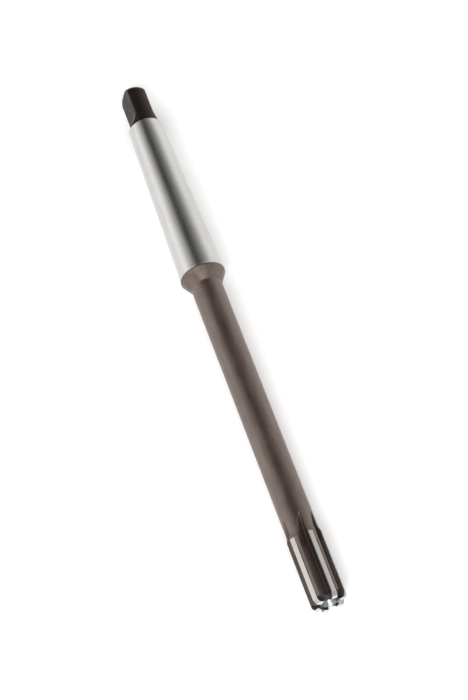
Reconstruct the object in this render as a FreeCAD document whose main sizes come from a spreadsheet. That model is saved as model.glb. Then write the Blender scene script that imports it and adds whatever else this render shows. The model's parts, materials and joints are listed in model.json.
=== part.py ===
import FreeCAD, Part
import math
import os
import Sketcher

V = FreeCAD.Vector

doc = FreeCAD.newDocument("MachineReamer")

# ---------------------------------------------------------------- driving sizes
# Millimetres and degrees.  Stations ("_pos") are measured along the tool axis
# from the free end of the tang towards the cutting end.
SIZES = [
    # whole tool
    ("overall", 168.0),
    # tang of the taper shank (tang form for Morse taper 1)
    ("tang_dia", 8.5),
    ("tang_thick", 5.2),
    ("tang_flat_len", 8.8),
    ("tang_runout_rad", 5.0),
    ("tang_tip_round", 1.7),
    ("flat_angle", 151.2),
    # Morse taper 1, 1:20.047 on diameter, 12.065 gauge diameter at 62
    ("taper_small_pos", 13.0),
    ("taper_small_dia", 9.621),
    ("taper_edge", 0.35),
    ("taper_big_pos", 65.0),
    ("taper_big_dia", 12.215),
    # collar between the ground taper and the cone
    ("collar_start_pos", 66.1),
    ("collar_rise", 0.2),
    ("collar_dia", 12.4),
    ("collar_end_pos", 66.65),
    # neck
    ("neck_start_pos", 70.07),
    ("neck_dia", 8.45),
    ("neck_end_pos", 148.0),
    # cutting head
    ("head_start_pos", 149.55),
    ("head_dia", 9.5),
    ("backing_dia", 9.2),
    ("front_cone_pos", 166.45),
    ("core_end_pos", 167.55),
    ("front_cone_dia", 5.9),
    # flutes: a vee with one radial wall, rolled out of the neck by a disc cutter
    ("flute_root_radius", 2.35),
    ("flute_root_round", 0.3),
    ("flute_run_pos", 152.1),
    ("flute_cutter_rad", 20.0),
    ("edge_one", 19.2),
    ("edge_two", 70.4),
    ("edge_three", 135.2),
    ("flank_one", 36.5),
    ("flank_two", 58.0),
    ("flank_three", 57.5),
    # gash that carries each flute out to the front centre hole
    ("gash_pos", 166.5),
    ("gash_width", 1.5),
    ("gash_width_one", 0.9),
    # brazed carbide tips and their seats
    ("tip_start_pos", 152.1),
    ("tip_thick", 1.35),
    ("tip_inner", 2.65),
    ("margin", 0.2),
    ("tip_lead", 0.65),
    ("tip_lead_len", 1.2),
    ("tip_end_relief", 0.12),
    # centre holes, 60 degree countersinks
    ("front_centre_dia", 4.0),
    ("front_pilot_dia", 2.0),
    ("front_pilot_len", 4.2),
    ("tang_centre_dia", 3.2),
    ("tang_pilot_dia", 1.6),
    ("tang_pilot_len", 3.2),
]

sheet = doc.addObject("Spreadsheet::Sheet", "Params")
for row, (alias, value) in enumerate(SIZES, start=1):
    sheet.set("A%d" % row, alias)
    sheet.set("B%d" % row, str(value))
    sheet.setAlias("B%d" % row, alias)
doc.recompute()


def size(alias):
    return float(getattr(sheet, alias))


def origin_plane(body, role):
    for feature in body.Origin.OriginFeatures:
        if feature.Role == role:
            return feature
    raise RuntimeError("no origin plane " + role)


def new_sketch(body, name, role="YZ_Plane", station=None, angle=None):
    """A sketch on one of the body's own origin planes.  On the YZ plane it can
    stand at a station along X and be turned about X by an angle."""
    sketch = body.newObject("Sketcher::SketchObject", name)
    sketch.AttachmentSupport = [(origin_plane(body, role), "")]
    sketch.MapMode = "FlatFace"
    if station is not None:
        sketch.setExpression("AttachmentOffset.Base.z", station)
    if angle is not None:
        sketch.setExpression("AttachmentOffset.Rotation.Angle", angle)
    return sketch


def closed_outline(sketch, points, arcs=None):
    """points: (x, y, x expression, y expression); None as an expression puts the
    point on that sketch axis.  arcs: {index: (centre, radius, expressions)} makes
    the side that starts at point index an arc about a bound centre."""
    arcs = arcs or {}
    n = len(points)
    sides = []
    for i in range(n):
        a, b = points[i], points[(i + 1) % n]
        if i in arcs:
            cx, cy, r, a0, a1, _, _ = arcs[i]
            circle = Part.Circle(V(cx, cy, 0), V(0, 0, 1), r)
            sides.append(sketch.addGeometry(
                Part.ArcOfCircle(circle, math.radians(a0), math.radians(a1)), False))
        else:
            sides.append(sketch.addGeometry(
                Part.LineSegment(V(a[0], a[1], 0), V(b[0], b[1], 0)), False))

    def start_of(i):
        # an arc drawn clockwise along the outline starts at its end point
        if i in arcs and arcs[i][6] == "reversed":
            return (sides[i], 2)
        return (sides[i], 1)

    def end_of(i):
        if i in arcs and arcs[i][6] == "reversed":
            return (sides[i], 1)
        return (sides[i], 2)

    for i in range(n):
        j = (i + 1) % n
        sketch.addConstraint(Sketcher.Constraint("Coincident", *end_of(i), *start_of(j)))
    for i in range(n):
        x, y, ex, ey = points[i]
        geo, pos = start_of(i)
        if ex is None:
            sketch.addConstraint(Sketcher.Constraint("PointOnObject", geo, pos, -2))
        else:
            k = sketch.addConstraint(Sketcher.Constraint("DistanceX", -1, 1, geo, pos, x))
            sketch.setExpression("Constraints[%d]" % k, ex)
        if ey is None:
            sketch.addConstraint(Sketcher.Constraint("PointOnObject", geo, pos, -1))
        else:
            k = sketch.addConstraint(Sketcher.Constraint("DistanceY", -1, 1, geo, pos, y))
            sketch.setExpression("Constraints[%d]" % k, ey)
    for i, (cx, cy, r, a0, a1, rexp, _) in arcs.items():
        k = sketch.addConstraint(Sketcher.Constraint("Radius", sides[i], r))
        sketch.setExpression("Constraints[%d]" % k, rexp)
    return sides


def checked(feature, before, what):
    """A pocket or groove must have removed material."""
    after = feature.Shape.Volume
    if not after < before - 1e-4:
        raise RuntimeError("%s removed nothing (%.4f -> %.4f)" % (what, before, after))
    return after


S = "Params."

# ================================================================ steel body
body = doc.addObject("PartDesign::Body", "ReamerBody")
body.Label = "reamer_body"

# Turned form: half section above the axis, with both centre holes.
turned = new_sketch(body, "TurnedProfile", "XZ_Plane")
tan30 = math.tan(math.radians(30.0))
tan59 = math.tan(math.radians(59.0))
L = size("overall")
E = size("core_end_pos")
tp, tc = size("tang_pilot_dia") / 2, size("tang_centre_dia") / 2
fp, fc = size("front_pilot_dia") / 2, size("front_centre_dia") / 2
te = size("taper_edge")
profile = [
    (size("tang_pilot_len") + tp / tan59, 0.0,
     S + "tang_pilot_len + " + S + "tang_pilot_dia / 2 / tan(59deg)", None),
    (size("tang_pilot_len"), tp, S + "tang_pilot_len", S + "tang_pilot_dia / 2"),
    ((tc - tp) / tan30, tp,
     "(" + S + "tang_centre_dia - " + S + "tang_pilot_dia) / 2 / tan(30deg)",
     S + "tang_pilot_dia / 2"),
    (0.0, tc, None, S + "tang_centre_dia / 2"),
    (0.0, size("tang_dia") / 2, None, S + "tang_dia / 2"),
    (size("taper_small_pos"), size("tang_dia") / 2, S + "taper_small_pos", S + "tang_dia / 2"),
    (size("taper_small_pos"), size("taper_small_dia") / 2 - te,
     S + "taper_small_pos", S + "taper_small_dia / 2 - " + S + "taper_edge"),
    (size("taper_small_pos") + te, size("taper_small_dia") / 2 + te / 20.047 / 2,
     S + "taper_small_pos + " + S + "taper_edge",
     S + "taper_small_dia / 2 + " + S + "taper_edge / 20.047 / 2"),
    (size("taper_big_pos"), size("taper_big_dia") / 2, S + "taper_big_pos", S + "taper_big_dia / 2"),
    (size("collar_start_pos"), size("taper_big_dia") / 2, S + "collar_start_pos", S + "taper_big_dia / 2"),
    (size("collar_start_pos") + size("collar_rise"), size("collar_dia") / 2,
     S + "collar_start_pos + " + S + "collar_rise", S + "collar_dia / 2"),
    (size("collar_end_pos"), size("collar_dia") / 2, S + "collar_end_pos", S + "collar_dia / 2"),
    (size("neck_start_pos"), size("neck_dia") / 2, S + "neck_start_pos", S + "neck_dia / 2"),
    (size("neck_end_pos"), size("neck_dia") / 2, S + "neck_end_pos", S + "neck_dia / 2"),
    (size("head_start_pos"), size("head_dia") / 2, S + "head_start_pos", S + "head_dia / 2"),
    (size("front_cone_pos"), size("head_dia") / 2, S + "front_cone_pos", S + "head_dia / 2"),
    (E, size("front_cone_dia") / 2, S + "core_end_pos", S + "front_cone_dia / 2"),
    (E, fc, S + "core_end_pos", S + "front_centre_dia / 2"),
    (E - (fc - fp) / tan30, fp,
     S + "core_end_pos - (" + S + "front_centre_dia - " + S + "front_pilot_dia) / 2 / tan(30deg)",
     S + "front_pilot_dia / 2"),
    (E - size("front_pilot_len"), fp, S + "core_end_pos - " + S + "front_pilot_len",
     S + "front_pilot_dia / 2"),
    (E - size("front_pilot_len") - fp / tan59, 0.0,
     S + "core_end_pos - " + S + "front_pilot_len - " + S + "front_pilot_dia / 2 / tan(59deg)", None),
]
closed_outline(turned, profile)
turning = body.newObject("PartDesign::Revolution", "Turning")
turning.Profile = turned
turning.ReferenceAxis = (turned, ["H_Axis"])
turning.Angle = 360.0
doc.recompute()

# Rounded free end of the tang.
edge_name = None
for i, edge in enumerate(turning.Shape.Edges, start=1):
    c = edge.Curve
    if isinstance(c, Part.Circle) and abs(c.Radius - size("tang_dia") / 2) < 1e-6 \
            and abs(c.Center.x) < 1e-6:
        edge_name = "Edge%d" % i
tip_round = body.newObject("PartDesign::Fillet", "TangTipRound")
tip_round.Base = (turning, [edge_name])
tip_round.setExpression("Radius", S + "tang_tip_round")
doc.recompute()
volume = checked(tip_round, turning.Shape.Volume, "tang tip round")

# Two parallel tang flats, each ending in the run-out arc of its milling cutter.
# The sketch stands on the XZ plane turned about X: x along the tool, y across.
flats = body.newObject("Sketcher::SketchObject", "TangFlats")
flats.AttachmentSupport = [(origin_plane(body, "XZ_Plane"), "")]
flats.MapMode = "FlatFace"
half = size("tang_thick") / 2
rr = size("tang_runout_rad")
fl = size("tang_flat_len")
reach = 1.9
cutlen = math.sqrt(rr ** 2 - (rr - reach) ** 2)
for sign, tag in ((1, ""), (-1, "-")):
    def e(text, s=sign):
        return text if s > 0 else "-(" + text + ")"
    a0 = math.degrees(math.asin((reach - rr) / rr))
    pts = [
        (-0.5, sign * half, "-0.5", e(S + "tang_thick / 2")),
        (fl, sign * half, S + "tang_flat_len", e(S + "tang_thick / 2")),
        (fl + cutlen, sign * (half + reach),
         S + "tang_flat_len + sqrt(" + S + "tang_runout_rad ^ 2 - (" + S + "tang_runout_rad - 1.9) ^ 2)",
         e(S + "tang_thick / 2 + 1.9")),
        (fl + cutlen, sign * 6.0,
         S + "tang_flat_len + sqrt(" + S + "tang_runout_rad ^ 2 - (" + S + "tang_runout_rad - 1.9) ^ 2)",
         e("6.0")),
        (-0.5, sign * 6.0, "-0.5", e("6.0")),
    ]
    if sign > 0:
        arc = (fl, half + rr, rr, -90.0, a0, S + "tang_runout_rad", "forward")
    else:
        arc = (fl, -half - rr, rr, -a0, 90.0, S + "tang_runout_rad", "reversed")
    closed_outline(flats, pts, {1: arc})
# turned about the tool axis so that the flats face the chosen direction
flat_turn = size("flat_angle") - 90.0
flats.AttachmentOffset = FreeCAD.Placement(V(0, 0, 0), FreeCAD.Rotation(V(1, 0, 0), flat_turn))
flats.setExpression("AttachmentOffset.Rotation.Angle", S + "flat_angle - 90")
flat_cut = body.newObject("PartDesign::Pocket", "TangFlatCut")
flat_cut.Profile = flats
flat_cut.Midplane = True
flat_cut.Length = 14.0
doc.recompute()
volume = checked(flat_cut, volume, "tang flats")

# ---------------------------------------------------------------- flutes and seats
# Each tooth has its cutting edge at an uneven angle; opposite teeth are paired,
# so every cut is made once and repeated at 180 degrees.
xr = size("flute_root_radius")
ro = size("flute_root_round")
rc = size("flute_cutter_rad")
root_x = xr + ro
TEETH = [("One", "edge_one", "flank_one"),
         ("Two", "edge_two", "flank_two"),
         ("Three", "edge_three", "flank_three")]


def flute_outline(sketch, flank_alias):
    """Vee flute in tooth axes: sketch x is radial through the cutting edge and
    sketch y runs in the direction of cutting, so the rake wall lies on y = 0."""
    A = math.radians(size(flank_alias))
    fa = S + flank_alias + " * 1deg"
    R = S + "flute_root_radius"
    r = S + "flute_root_round"
    tx, ty = root_x - ro * math.sin(A), ro + ro * math.cos(A)
    k = 6.0
    pts = [
        (root_x, 0.0, R + " + " + r, None),
        (7.5, 0.0, "7.5", None),
        (tx + k * math.cos(A), ty + k * math.sin(A),
         R + " + " + r + " - " + r + " * sin(" + fa + ") + 6 * cos(" + fa + ")",
         r + " + " + r + " * cos(" + fa + ") + 6 * sin(" + fa + ")"),
        (tx, ty, R + " + " + r + " - " + r + " * sin(" + fa + ")",
         r + " + " + r + " * cos(" + fa + ")"),
    ]
    # root round, from the flank's foot back to the foot of the rake wall
    a_start = math.degrees(A) + 90.0
    arc = (root_x, ro, ro, a_start, 270.0, r, "forward")
    return closed_outline(sketch, pts, {3: arc})


for name, edge_alias, flank_alias in TEETH:
    made = []
    # straight part of the flute, out through the front
    sk = new_sketch(body, "FluteSection" + name, "YZ_Plane", S + "flute_run_pos", S + edge_alias)
    flute_outline(sk, flank_alias)
    cut = body.newObject("PartDesign::Pocket", "Flute" + name)
    cut.Profile = sk
    cut.Reversed = True
    cut.Length = 20.0
    doc.recompute()
    volume = checked(cut, volume, "flute " + name)
    made.append(cut)

    # run-out: the same section turned about the cutter's own axis
    sk = new_sketch(body, "FluteRunSection" + name, "YZ_Plane", S + "flute_run_pos", S + edge_alias)
    flute_outline(sk, flank_alias)
    axis = sk.addGeometry(Part.LineSegment(V(xr + rc, -4, 0), V(xr + rc, 6, 0)), True)
    sk.addConstraint(Sketcher.Constraint("Vertical", axis))
    k = sk.addConstraint(Sketcher.Constraint("DistanceX", -1, 1, axis, 1, xr + rc))
    sk.setExpression("Constraints[%d]" % k,
                     S + "flute_root_radius + " + S + "flute_cutter_rad")
    k = sk.addConstraint(Sketcher.Constraint("DistanceY", axis, 1, axis, 2, 10.0))
    k = sk.addConstraint(Sketcher.Constraint("DistanceY", -1, 1, axis, 2, 6.0))
    run = body.newObject("PartDesign::Groove", "FluteRun" + name)
    run.Profile = sk
    run.ReferenceAxis = (sk, ["Axis0"])
    run.Angle = 40.0
    doc.recompute()
    if run.Shape.isNull() or not run.Shape.Volume < volume - 1e-4:
        run.Reversed = True
        doc.recompute()
    volume = checked(run, volume, "flute run " + name)
    made.append(run)

    # seat for the carbide tip in the leading wall of the tooth
    sk = new_sketch(body, "SeatSection" + name, "YZ_Plane", S + "tip_start_pos", S + edge_alias)
    t, q = size("tip_thick"), size("tip_inner")
    closed_outline(sk, [
        (q, -t, S + "tip_inner", "-" + S + "tip_thick"),
        (7.0, -t, "7.0", "-" + S + "tip_thick"),
        (7.0, 0.0, "7.0", None),
        (q, 0.0, S + "tip_inner", None),
    ])
    seat = body.newObject("PartDesign::Pocket", "Seat" + name)
    seat.Profile = sk
    seat.Reversed = True
    seat.Length = 20.0
    doc.recompute()
    volume = checked(seat, volume, "seat " + name)
    made.append(seat)

    # relief: behind the narrow round margin a flat runs down to the backing, which
    # is 0.15 lower than the cutting edge; the flat meets the backing tangentially
    sk = new_sketch(body, "BackingSection" + name, "YZ_Plane", S + "neck_end_pos", S + edge_alias)
    b = size("backing_dia") / 2
    t = size("tip_thick")
    w = size("margin")
    x0 = math.sqrt(b * b - t * t)
    xm = math.sqrt(size("head_dia") ** 2 / 4 - w * w)
    d1 = math.radians(-40.0)
    a_hi = math.degrees(math.atan2(-t, x0))
    closed_outline(sk, [
        (x0, -t, "sqrt((" + S + "backing_dia / 2) ^ 2 - " + S + "tip_thick ^ 2)",
         "-" + S + "tip_thick"),
        (b * math.cos(d1), b * math.sin(d1),
         S + "backing_dia / 2 * cos(40deg)", "-" + S + "backing_dia / 2 * sin(40deg)"),
        (7.0 * math.cos(d1), 7.0 * math.sin(d1), "7 * cos(40deg)", "-7 * sin(40deg)"),
        (8.0, -w, "8.0", "-" + S + "margin"),
        (xm, -w, "sqrt((" + S + "head_dia / 2) ^ 2 - " + S + "margin ^ 2)", "-" + S + "margin"),
    ], {0: (0.0, 0.0, b, -40.0, a_hi, S + "backing_dia / 2", "reversed")})
    back = body.newObject("PartDesign::Pocket", "Backing" + name)
    back.Profile = sk
    back.Reversed = True
    back.Length = 22.0
    doc.recompute()
    volume = checked(back, volume, "backing " + name)
    made.append(back)

    # end gash: slopes the flute's floor in to the rim of the front centre hole
    sk = body.newObject("Sketcher::SketchObject", "GashSection" + name)
    sk.AttachmentSupport = [(origin_plane(body, "XZ_Plane"), "")]
    sk.MapMode = "FlatFace"
    closed_outline(sk, [
        (size("gash_pos"), xr, S + "gash_pos", S + "flute_root_radius"),
        (E + 0.2, 1.93, S + "core_end_pos + 0.2", "1.93"),
        (E + 0.2, xr + 0.8, S + "core_end_pos + 0.2", S + "flute_root_radius + 0.8"),
        (size("gash_pos"), xr + 0.8, S + "gash_pos", S + "flute_root_radius + 0.8"),
    ])
    turn = size(edge_alias) - 90.0
    sk.AttachmentOffset = FreeCAD.Placement(V(0, 0, 0), FreeCAD.Rotation(V(1, 0, 0), turn))
    sk.setExpression("AttachmentOffset.Rotation.Angle", S + edge_alias + " - 90")
    gash = body.newObject("PartDesign::Pocket", "Gash" + name)
    gash.Profile = sk
    gash.Reversed = True
    # the flute behind the narrowest tooth has a narrower gash, clear of the next seat
    gash.setExpression("Length", S + ("gash_width_one" if name == "One" else "gash_width"))
    doc.recompute()
    volume = checked(gash, volume, "gash " + name)
    made.append(gash)

    pair = body.newObject("PartDesign::PolarPattern", "Pair" + name)
    pair.Originals = made
    pair.Axis = (origin_plane(body, "X_Axis"), [""])
    pair.Angle = 360.0
    pair.Occurrences = 2
    body.Tip = pair
    doc.recompute()
    volume = checked(pair, volume, "pair " + name)

# ================================================================ carbide tips
TIP_ANGLES = [("edge_one", 0.0), ("edge_two", 0.0), ("edge_three", 0.0),
              ("edge_one", 180.0), ("edge_two", 180.0), ("edge_three", 180.0)]
tips = []
for number, (edge_alias, extra) in enumerate(TIP_ANGLES, start=1):
    tip = doc.addObject("PartDesign::Body", "CarbideTip%d" % number)
    tip.Label = "carbide_tip_%d" % number
    # section: flat rake, back and foot, round margin at the cutting edge and
    # flat relief behind it, flush with the backing
    sk = new_sketch(tip, "TipSection%d" % number, "YZ_Plane", S + "tip_start_pos")
    r = size("head_dia") / 2
    t, q, w = size("tip_thick"), size("tip_inner"), size("margin")
    b = size("backing_dia") / 2
    xb = math.sqrt(b * b - t * t)
    xm = math.sqrt(r * r - w * w)
    closed_outline(sk, [
        (q, -t, S + "tip_inner", "-" + S + "tip_thick"),
        (xb, -t, "sqrt((" + S + "backing_dia / 2) ^ 2 - " + S + "tip_thick ^ 2)",
         "-" + S + "tip_thick"),
        (xm, -w, "sqrt((" + S + "head_dia / 2) ^ 2 - " + S + "margin ^ 2)", "-" + S + "margin"),
        (r, 0.0, S + "head_dia / 2", None),
        (q, 0.0, S + "tip_inner", None),
    ], {2: (0.0, 0.0, r, math.degrees(math.atan2(-w, xm)), 0.0, S + "head_dia / 2", "forward")})
    pad = tip.newObject("PartDesign::Pad", "TipBlank%d" % number)
    pad.Profile = sk
    pad.setExpression("Length", S + "overall - " + S + "tip_start_pos")
    doc.recompute()
    tip_volume = pad.Shape.Volume
    # conical lead at the front corner
    sk = new_sketch(tip, "LeadSection%d" % number, "XY_Plane")
    closed_outline(sk, [
        (L - size("tip_lead_len"), r,
         S + "overall - " + S + "tip_lead_len", S + "head_dia / 2"),
        (L, r - size("tip_lead"), S + "overall", S + "head_dia / 2 - " + S + "tip_lead"),
        (L + 1.0, r - size("tip_lead"), S + "overall + 1", S + "head_dia / 2 - " + S + "tip_lead"),
        (L + 1.0, r + 1.0, S + "overall + 1", S + "head_dia / 2 + 1"),
        (L - size("tip_lead_len"), r + 1.0,
         S + "overall - " + S + "tip_lead_len", S + "head_dia / 2 + 1"),
    ])
    lead = tip.newObject("PartDesign::Groove", "TipLead%d" % number)
    lead.Profile = sk
    lead.ReferenceAxis = (sk, ["H_Axis"])
    lead.Angle = 360.0
    doc.recompute()
    tip_volume = checked(lead, tip_volume, "tip lead")
    # end face relieved away from the cutting edge
    sk = new_sketch(tip, "ReliefSection%d" % number, "XZ_Plane")
    closed_outline(sk, [
        (L, 0.0, S + "overall", None),
        (L - size("tip_end_relief"), -t, S + "overall - " + S + "tip_end_relief",
         "-" + S + "tip_thick"),
        (L + 0.5, -t, S + "overall + 0.5", "-" + S + "tip_thick"),
        (L + 0.5, 0.0, S + "overall + 0.5", None),
    ])
    relief = tip.newObject("PartDesign::Pocket", "TipRelief%d" % number)
    relief.Profile = sk
    relief.Midplane = True
    relief.Length = 14.0
    doc.recompute()
    tip_volume = checked(relief, tip_volume, "tip relief")
    tip.Tip = relief
    tips.append((tip, size(edge_alias) + extra))
doc.recompute()

# ================================================================ rest attitude
# The tool lies on the front edge of its collar and on the lowest line of the
# head: the cutting edge opposite edge_two and the heel of the tooth opposite
# edge_three.  The roll makes that line level, the pitch lets the head down.


def polar(radius, degrees):
    return (radius * math.cos(math.radians(degrees)), radius * math.sin(math.radians(degrees)))


r_head, r_back = size("head_dia") / 2, size("backing_dia") / 2
A = math.radians(size("flank_two"))
fx, fy = root_x - ro * math.sin(A), ro + ro * math.cos(A)
bq = fx * math.cos(A) + fy * math.sin(A)
k = -bq + math.sqrt(bq * bq - (fx * fx + fy * fy - r_back * r_back))
heel_angle = math.degrees(math.atan2(fy + k * math.sin(A), fx + k * math.cos(A)))
py, pz = polar(r_head, size("edge_two") + 180.0)
hy, hz = polar(r_back, size("edge_two") + 180.0 + heel_angle)
line_angle = math.degrees(math.atan2(hz - pz, hy - py))
roll = -line_angle
depth = abs(py * (hz - pz) - pz * (hy - py)) / math.hypot(hz - pz, hy - py)
pitch = math.degrees(math.atan2(size("collar_dia") / 2 - depth,
                                size("overall") - size("tip_lead_len") - size("collar_end_pos")))
print("roll %.3f  line depth %.4f  pitch %.4f" % (roll, depth, pitch))

attitude = FreeCAD.Rotation(V(0, 1, 0), pitch).multiply(FreeCAD.Rotation(V(1, 0, 0), roll))
# the origin is under the middle of the box that holds the body and the tips
box = FreeCAD.BoundBox()
for part_body, angle in [(body, 0.0)] + tips:
    shape = part_body.Shape.copy()
    shape.Placement = FreeCAD.Placement(
        V(0, 0, 0), attitude.multiply(FreeCAD.Rotation(V(1, 0, 0), angle)))
    box.add(shape.optimalBoundingBox(False))
place = FreeCAD.Placement(V(-(box.XMin + box.XMax) / 2, -(box.YMin + box.YMax) / 2, -box.ZMin), attitude)
body.Placement = place
for tip, angle in tips:
    tip.Placement = place.multiply(
        FreeCAD.Placement(V(0, 0, 0), FreeCAD.Rotation(V(1, 0, 0), angle)))
doc.recompute()

# ================================================================ checks and files
for obj in doc.Objects:
    if "Invalid" in obj.State or "Error" in obj.State:
        raise RuntimeError("%s is %s" % (obj.Name, obj.State))
nodes = [body] + [tip for tip, _ in tips]
for node in nodes:
    shape = node.Shape
    if shape.isNull() or not shape.isValid() or len(shape.Solids) != 1:
        raise RuntimeError("bad shape: " + node.Label)
    bb = shape.optimalBoundingBox(False)
    print("%-16s volume %9.3f  x %.3f..%.3f  y %.3f..%.3f  z %.3f..%.3f" % (
        node.Label, shape.Volume, bb.XMin, bb.XMax, bb.YMin, bb.YMax, bb.ZMin, bb.ZMax))

os.makedirs("parts", exist_ok=True)
for node in nodes:
    node.Shape.exportStep("parts/%s.step" % node.Label)
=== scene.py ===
import json
import math

import bpy
import numpy as np
from mathutils import Matrix, Vector
from mathutils.geometry import tessellate_polygon

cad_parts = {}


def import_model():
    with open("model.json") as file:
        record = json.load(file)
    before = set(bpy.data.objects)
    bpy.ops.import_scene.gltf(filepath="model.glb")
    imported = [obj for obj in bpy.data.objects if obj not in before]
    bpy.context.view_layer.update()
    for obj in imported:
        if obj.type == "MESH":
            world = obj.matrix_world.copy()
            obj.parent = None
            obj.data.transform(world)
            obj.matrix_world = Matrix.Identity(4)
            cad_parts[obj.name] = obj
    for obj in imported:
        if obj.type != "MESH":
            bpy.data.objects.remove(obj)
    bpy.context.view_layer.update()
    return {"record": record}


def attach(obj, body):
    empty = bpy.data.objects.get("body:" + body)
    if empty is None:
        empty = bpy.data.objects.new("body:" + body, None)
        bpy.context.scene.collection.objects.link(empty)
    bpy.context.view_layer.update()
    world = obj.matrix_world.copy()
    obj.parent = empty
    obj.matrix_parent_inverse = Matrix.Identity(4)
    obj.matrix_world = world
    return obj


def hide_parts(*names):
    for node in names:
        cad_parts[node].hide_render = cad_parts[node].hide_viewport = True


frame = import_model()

# ------------------------------------------------------------------ tool frame
# Stations s run along the tool from the tang's free end, in millimetres; angles
# run round the axis.  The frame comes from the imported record's own mounts.
mounts = {m["name"]: m for m in frame["record"]["mounts"]}
T = Vector(mounts["tang_centre"]["pos_m"]) * 1000.0
axis_a = (Vector(mounts["front_centre"]["pos_m"]) * 1000.0 - T).normalized()
flat = Vector(mounts["tang_flat_upper"]["axis"])
flat = (flat - axis_a * flat.dot(axis_a)).normalized()
FLAT_ANGLE = math.radians(151.2)
side = axis_a.cross(flat)
axis_y = (flat * math.cos(FLAT_ANGLE) - side * math.sin(FLAT_ANGLE)).normalized()
axis_z = axis_a.cross(axis_y).normalized()
A = Matrix((axis_a, axis_y, axis_z)).transposed()


def world(s, y, z):
    return (T + A @ Vector((s, y, z))) / 1000.0


# ------------------------------------------------------------------ sizes (mm)
OVERALL = 168.0
TANG_R, FLAT_H, FLAT_LEN, RUN_R, TIP_ROUND = 4.25, 2.6, 8.8, 5.0, 1.7
SMALL_S, SMALL_R, SMALL_EDGE = 13.0, 9.621 / 2, 0.35
BIG_S, BIG_R = 65.0, 12.215 / 2
RISE_S, RISE, COLLAR_R, COLLAR_S = 66.1, 0.2, 12.4 / 2, 66.65
NECK_S, NECK_R, NECK_END = 70.07, 8.45 / 2, 148.0
HEAD_S, HEAD_R, BACK_R = 149.55, 9.5 / 2, 9.2 / 2
CONE_S, CORE_END, CONE_END_R = 166.45, 167.55, 2.98
ROOT_R, ROOT_ROUND, RUN_S, CUTTER_R = 2.35, 0.3, 152.1, 20.0
EDGES = [19.2, 70.4, 135.2, 199.2, 250.4, 315.2]
FLANKS = [36.5, 58.0, 57.5, 36.5, 58.0, 57.5]
GASH_S, GASH_W = 166.5, [0.9, 1.5, 1.5, 0.9, 1.5, 1.5]
TIP_T, TIP_IN, LEAD, LEAD_LEN, END_RELIEF = 1.35, 2.65, 0.65, 1.2, 0.12
MARGIN = 0.2
ROOT_X = ROOT_R + ROOT_ROUND
AXIS_X = ROOT_R + CUTTER_R

# relief flat of each land, from the margin down to the backing, in tooth axes
FLAT_TOP = (math.sqrt(HEAD_R ** 2 - MARGIN ** 2), -MARGIN)
FLAT_FOOT = (math.sqrt(BACK_R ** 2 - TIP_T ** 2), -TIP_T)
RELIEF = math.atan2(FLAT_TOP[0] - FLAT_FOOT[0], FLAT_TOP[1] - FLAT_FOOT[1])
FLAT_DIST = FLAT_TOP[0] * math.cos(RELIEF) - FLAT_TOP[1] * math.sin(RELIEF)

# segments of each stretch of a tooth's outline
N_BACK, N_LAND, N_WALL, N_ROOT, N_FLANK = 13, 7, 6, 12, 9
PER_TOOTH = N_BACK + 1 + N_LAND + N_WALL + N_ROOT + N_FLANK + 1
N = 6 * PER_TOOTH

# material slots of the steel body
OXIDE, GROUND, BROWN, LANDS, FLUTE, FRONT, CENTRE, SEAT, BACKING, TANGFLAT, CONE, GASH, RAMP = range(13)


def head_radius(s):
    if s <= NECK_END:
        return NECK_R
    if s <= HEAD_S:
        return NECK_R + (HEAD_R - NECK_R) * (s - NECK_END) / (HEAD_S - NECK_END)
    if s <= CONE_S:
        return HEAD_R
    return HEAD_R + (CONE_END_R - HEAD_R) * (s - CONE_S) / (CORE_END - CONE_S)


def flute_line(tooth, s):
    """The flute's outline in tooth axes, wall first, as a dense line with the
    lengths at which the wall's foot and the root round's end lie."""
    angle = math.radians(FLANKS[tooth])
    wall = [(x, 0.0) for x in np.linspace(6.4, ROOT_X, 90)]
    arc = [(ROOT_X + ROOT_ROUND * math.cos(t), ROOT_ROUND + ROOT_ROUND * math.sin(t))
           for t in np.linspace(math.radians(270.0), angle + math.pi / 2, 40)][1:]
    foot = arc[-1]
    flank = [(foot[0] + k * math.cos(angle), foot[1] + k * math.sin(angle))
             for k in np.linspace(0.0, 5.0, 160)][1:]
    pts = np.array(wall + arc + flank)
    if s < RUN_S:
        d = RUN_S - s
        reach = AXIS_X - pts[:, 0]
        pts[:, 0] = AXIS_X - np.sqrt(np.maximum(reach * reach - d * d, 1.0))
    length = np.concatenate([[0.0], np.cumsum(np.hypot(*np.diff(pts, axis=0).T))])
    return pts, length, length[len(wall) - 1], length[len(wall) + len(arc) - 1]


def gash_line(tooth, s):
    """Outline ahead of the gash's start: seat edge, gash floor, gash wall, flank."""
    angle = math.radians(FLANKS[tooth])
    w = GASH_W[tooth]
    floor = max(ROOT_R - (s - GASH_S) * (ROOT_R - 1.93) / (CORE_END + 0.2 - GASH_S), 2.03)
    foot = (ROOT_X - ROOT_ROUND * math.sin(angle), ROOT_ROUND + ROOT_ROUND * math.cos(angle))
    top = foot[0] + (w - foot[1]) / math.sin(angle) * math.cos(angle)
    knots = [(TIP_IN, 0.0), (floor, 0.0), (floor, w), (top, w)]
    knots.append((top + 4.0 * math.cos(angle), w + 4.0 * math.sin(angle)))
    pts, marks = [knots[0]], [0.0]
    for p, q in zip(knots, knots[1:]):
        for t in np.linspace(0.0, 1.0, 60)[1:]:
            pts.append((p[0] + (q[0] - p[0]) * t, p[1] + (q[1] - p[1]) * t))
        marks.append(marks[-1] + math.hypot(q[0] - p[0], q[1] - p[1]))
    pts = np.array(pts)
    length = np.concatenate([[0.0], np.cumsum(np.hypot(*np.diff(pts, axis=0).T))])
    return pts, length, marks


def at(pts, length, t):
    return np.stack([np.interp(t, length, pts[:, 0]), np.interp(t, length, pts[:, 1])], 1)


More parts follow.
